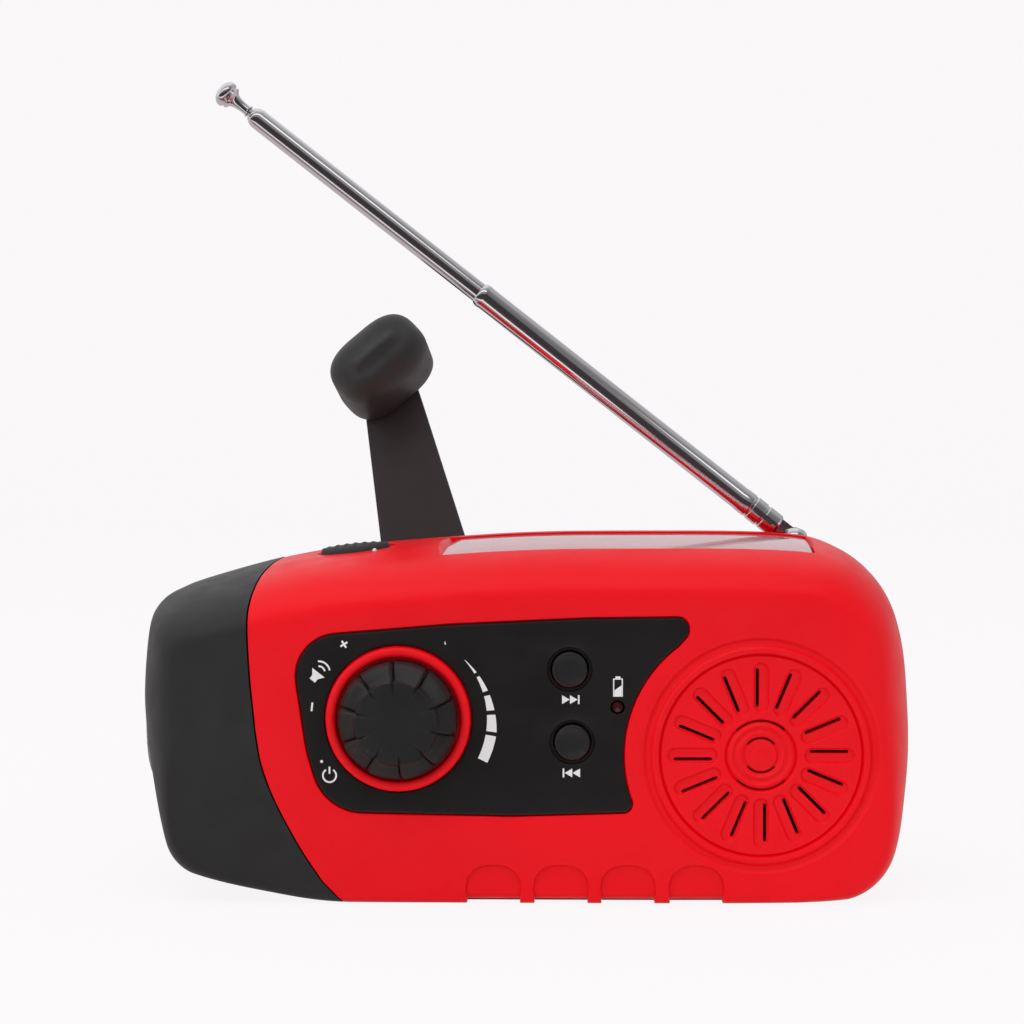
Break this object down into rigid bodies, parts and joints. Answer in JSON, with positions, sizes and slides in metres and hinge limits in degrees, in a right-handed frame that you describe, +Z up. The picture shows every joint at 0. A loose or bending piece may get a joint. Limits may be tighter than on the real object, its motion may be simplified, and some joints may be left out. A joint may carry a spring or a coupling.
{
  "type": "emergency radio",
  "caption": "Hand-crank emergency radio: rounded red casing with black lamp cap, control panel, speaker grille, solar window, fold-out crank and telescopic antenna.",
  "frame": {"origin": "on the resting plane, at mid width and near mid depth, in the flat underside", "axes": "+X to the radio's right as seen from its front, +Y to its back, +Z up"},
  "size_m": [0.1269, 0.0734, 0.1361],
  "materials": {
    "red_shell": "satin moulded",
    "black_cap": "matte, soft touch",
    "black_panel": "satin",
    "black_knob": "fine moulded texture",
    "soft_rubber": "matte",
    "clear_plastic": "clear, glossy",
    "chrome": "polished",
    "steel": "plain",
    "silver_reflector": "mirror-bright coating",
    "white_led": "clear epoxy over yellow phosphor",
    "red_led": "glossy",
    "circuit_board": "solder mask",
    "grey_component": "moulded",
    "solar_cell": "glassy cell",
    "paper_cone": "matte paper",
    "battery_wrap": "shrink sleeve",
    "gear_plastic": "natural acetal",
    "copper": "enamelled wire",
    "magnet": "plain"
  },
  "bodies": {
    "casing": {"front_shell": "red_shell", "rear_shell": "red_shell", "lamp_cap": "black_cap", "lamp_lens": "clear_plastic", "lamp_reflector": "silver_reflector", "lamp_led_1": "white_led", "lamp_led_2": "white_led", "lamp_led_3": "white_led", "led_board": "circuit_board", "control_panel": "black_panel", "solar_window": "clear_plastic", "solar_cell": "solar_cell", "volume_pot": "grey_component", "switch_next": "grey_component", "switch_prev": "grey_component", "status_led": "red_led", "switch_light": "grey_component", "light_board": "circuit_board", "main_board": "circuit_board", "board_screw_1": "steel", "board_screw_2": "steel", "port_board": "circuit_board", "usb_a_socket": "steel", "usb_c_socket": "steel", "battery_cell": "battery_wrap", "speaker_frame": "steel", "speaker_cone": "paper_cone", "speaker_magnet": "magnet", "idler_axle": "steel", "stator": "copper", "gearbox_plate": "steel", "gearbox_screw_1": "steel", "gearbox_screw_2": "steel", "gearbox_screw_3": "steel", "case_screw_1": "steel", "case_screw_2": "steel", "case_screw_3": "steel", "case_screw_4": "steel", "crank_bush": "steel"},
    "volume_knob": {"volume_knob": "black_knob", "volume_shaft": "steel"},
    "next_button": {"next_button": "black_knob"},
    "prev_button": {"prev_button": "black_knob"},
    "light_button": {"light_button": "soft_rubber"},
    "crank": {"crank_hub": "black_knob", "crank_gear": "gear_plastic", "crank_hinge_pin": "steel"},
    "crank_arm": {"crank_arm": "black_knob", "knob_pin": "steel"},
    "crank_handle": {"crank_knob": "black_knob"},
    "idler": {"idler_gear": "gear_plastic"},
    "rotor": {"rotor": "magnet"},
    "antenna_mount": {"antenna_base": "chrome", "antenna_pin": "steel"},
    "antenna_lower": {"antenna_tube_1": "chrome"},
    "antenna_middle": {"antenna_tube_2": "chrome"},
    "antenna_upper": {"antenna_tube_3": "chrome"},
    "antenna_end": {"antenna_tip": "chrome"},
    "port_cover": {"port_cover": "soft_rubber"}
  },
  "joints": [
    {"name": "volume_turn", "type": "hinge", "parent": "casing", "child": "volume_knob", "pos_m": [-0.0201, -0.021, 0.0298], "axis": [0, 1, 0], "range_deg": [0, 290]},
    {"name": "next_press", "type": "slide", "parent": "casing", "child": "next_button", "axis": [0, 1, 0], "range_m": [0, 0.0008]},
    {"name": "prev_press", "type": "slide", "parent": "casing", "child": "prev_button", "axis": [0, 1, 0], "range_m": [0, 0.0008]},
    {"name": "light_press", "type": "slide", "parent": "casing", "child": "light_button", "axis": [0.1028, 0, -0.9947], "range_m": [0, 0.0008]},
    {"name": "crank_turn", "type": "hinge", "parent": "casing", "child": "crank", "pos_m": [-0.0126, 0.0222, 0.027], "axis": [0, 1, 0], "continuous": true},
    {"name": "crank_fold", "type": "hinge", "parent": "crank", "child": "crank_arm", "pos_m": [-0.0126, 0.0222, 0.027], "axis": [0.972, 0, 0.2351], "range_deg": [-160, 20]},
    {"name": "handle_spin", "type": "hinge", "parent": "crank_arm", "child": "crank_handle", "pos_m": [-0.02648, 0.04368, 0.08436], "axis": [-0.0804, -0.9397, 0.3324], "continuous": true},
    {"name": "idler_spin", "type": "hinge", "parent": "casing", "child": "idler", "pos_m": [0.00098, 0.0129, 0.04058], "axis": [0, 1, 0], "continuous": true},
    {"name": "rotor_spin", "type": "hinge", "parent": "casing", "child": "rotor", "pos_m": [0.01225, 0.012, 0.03647], "axis": [0, 1, 0], "continuous": true},
    {"name": "antenna_swivel", "type": "hinge", "parent": "casing", "child": "antenna_mount", "pos_m": [0.0464, 0.015, 0.0562], "axis": [0, 0, -1], "range_deg": [0, 180]},
    {"name": "antenna_tilt", "type": "hinge", "parent": "antenna_mount", "child": "antenna_lower", "pos_m": [0.0464, 0.015, 0.0562], "axis": [0, 1, 0], "range_deg": [-38.2, 51.8]},
    {"name": "antenna_slide_1", "type": "slide", "parent": "antenna_lower", "child": "antenna_middle", "axis": [-0.7859, 0, 0.6184], "range_m": [-0.05, 0]},
    {"name": "antenna_slide_2", "type": "slide", "parent": "antenna_middle", "child": "antenna_upper", "axis": [-0.7859, 0, 0.6184], "range_m": [0, 0.05]},
    {"name": "antenna_slide_3", "type": "slide", "parent": "antenna_upper", "child": "antenna_end", "axis": [-0.7859, 0, 0.6184], "range_m": [0, 0.05]},
    {"name": "port_cover_hinge", "type": "hinge", "parent": "casing", "child": "port_cover", "pos_m": [0.0423, 0.0177, 0.0047], "axis": [-1, 0, 0], "range_deg": [0, 100]}
  ],
  "couplings": [
    {"joint": "idler_spin", "follows": "crank_turn", "ratio": -3},
    {"joint": "rotor_spin", "follows": "crank_turn", "ratio": 9}
  ]
}
